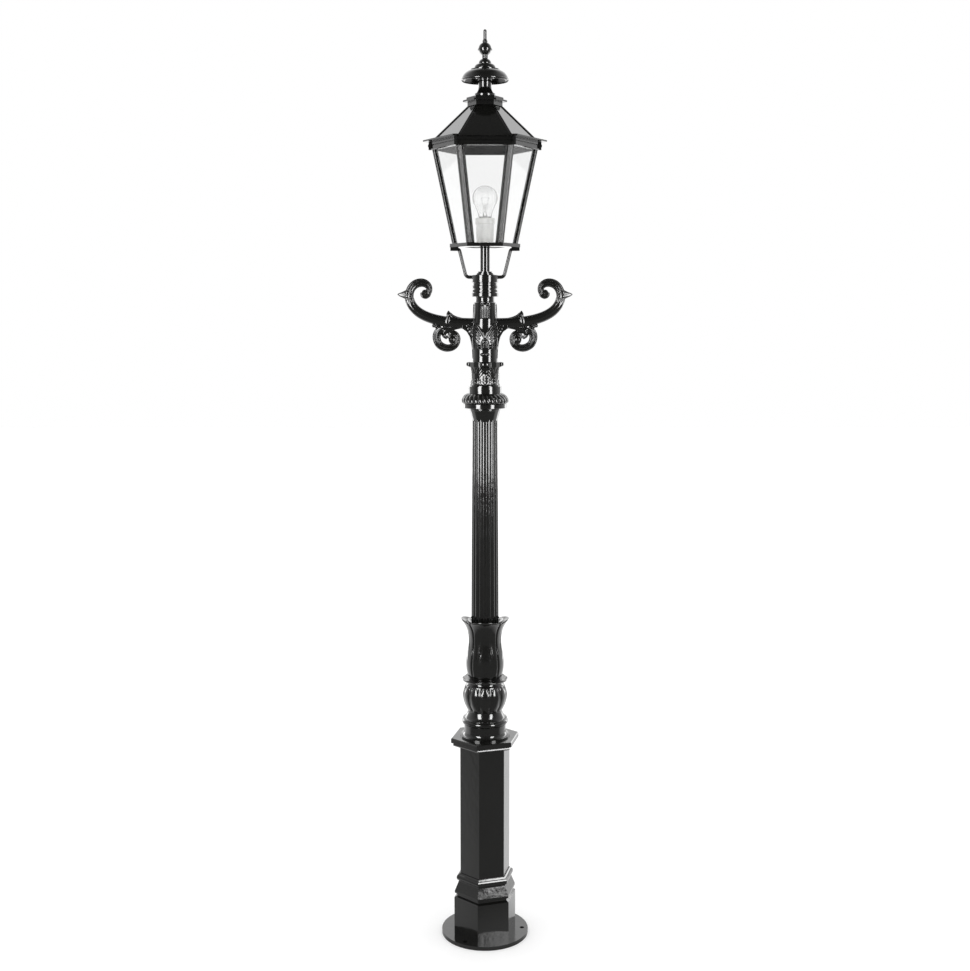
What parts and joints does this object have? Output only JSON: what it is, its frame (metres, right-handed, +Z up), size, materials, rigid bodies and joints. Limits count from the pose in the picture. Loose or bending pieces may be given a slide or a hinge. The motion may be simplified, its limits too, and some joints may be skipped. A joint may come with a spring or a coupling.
{
  "type": "lamp post",
  "caption": "Cast lamp post with hexagonal pedestal, fluted column, two scroll arms and a hexagonal glazed lantern with a hinged roof and screw-in bulb.",
  "frame": {"origin": "centre of the underside of the ground flange", "axes": "+Z up the post, -Y towards the front, +X along the right scroll arm, a corner of the lantern on +X"},
  "size_m": [0.424, 0.2554, 2.24],
  "materials": {
    "black_paint": "high gloss black coat over cast metal",
    "black_hinge": "gloss black coat",
    "black_screw": "gloss black coat",
    "steel": "zinc plated",
    "white_tray": "satin white coat",
    "porcelain": "glazed white porcelain",
    "brass": "pressed brass",
    "bulb_cap_metal": "bright pressed shell",
    "bulb_clear_glass": "clear thin glass",
    "filament": "fine wire on a glass stem",
    "pane_glass": "clear float glass"
  },
  "bodies": {
    "post": {"base_flange": "black_paint", "pedestal_foot": "black_paint", "pedestal_shaft": "black_paint", "pedestal_cap": "black_paint", "pedestal_drum": "black_paint", "gadroon_bulb": "black_paint", "tulip_ring": "black_paint", "tulip_sleeve": "black_paint", "fluted_column": "black_paint", "column_neck": "black_paint", "gadroon_ring": "black_paint", "capital_collar": "black_paint", "collar_grub_screws": "steel", "leaf_capital": "black_paint", "arm_hub": "black_paint", "right_scroll_arm": "black_paint", "left_scroll_arm": "black_paint", "spigot": "black_paint", "inner_tube": "steel"},
    "lantern": {"lantern_socket": "black_paint", "socket_grub_screws": "steel", "socket_cap": "black_paint", "yoke_leg_left": "black_paint", "yoke_leg_right": "black_paint", "yoke_bolts": "steel", "lamp_tube": "black_paint", "tray_nut": "steel", "bottom_frame": "black_paint", "bottom_tray": "white_tray", "corner_posts": "black_paint", "eave_fascia": "black_paint", "corner_brackets": "black_paint", "corner_screws": "black_screw", "hinge_fixed_leaf": "black_hinge", "hinge_pin": "steel", "lamp_holder": "porcelain", "holder_ring": "porcelain", "holder_contacts": "brass", "side_pane_1": "pane_glass", "side_pane_2": "pane_glass", "side_pane_3": "pane_glass", "side_pane_4": "pane_glass", "side_pane_5": "pane_glass", "side_pane_6": "pane_glass"},
    "roof": {"hinge_moving_leaf": "black_hinge", "eave_plate": "black_paint", "roof_panels": "black_paint", "roof_ribs": "black_paint", "roof_box": "black_paint", "cap_slab": "black_paint", "chimney": "black_paint", "saucer_cowl": "black_paint", "finial_tiers": "black_paint", "finial_ball": "black_paint", "finial_spike": "black_paint", "finial_tie_rod": "steel", "tie_rod_nut": "steel"},
    "bulb": {"bulb_cap": "bulb_cap_metal", "bulb_glass": "bulb_clear_glass", "bulb_filament": "filament"}
  },
  "joints": [
    {"name": "lantern_swivel", "type": "hinge", "parent": "post", "child": "lantern", "pos_m": [0, 0, 1.6172], "axis": [0, 0, 1], "range_deg": [-180, 180]},
    {"name": "roof_hinge", "type": "hinge", "parent": "lantern", "child": "roof", "pos_m": [0, 0.12155, 1.9774], "axis": [-1, 0, 0], "range_deg": [0, 100]},
    {"name": "bulb_turn", "type": "hinge", "parent": "lantern", "child": "bulb", "pos_m": [0, 0, 1.7395], "axis": [0, 0, 1], "continuous": true}
  ]
}
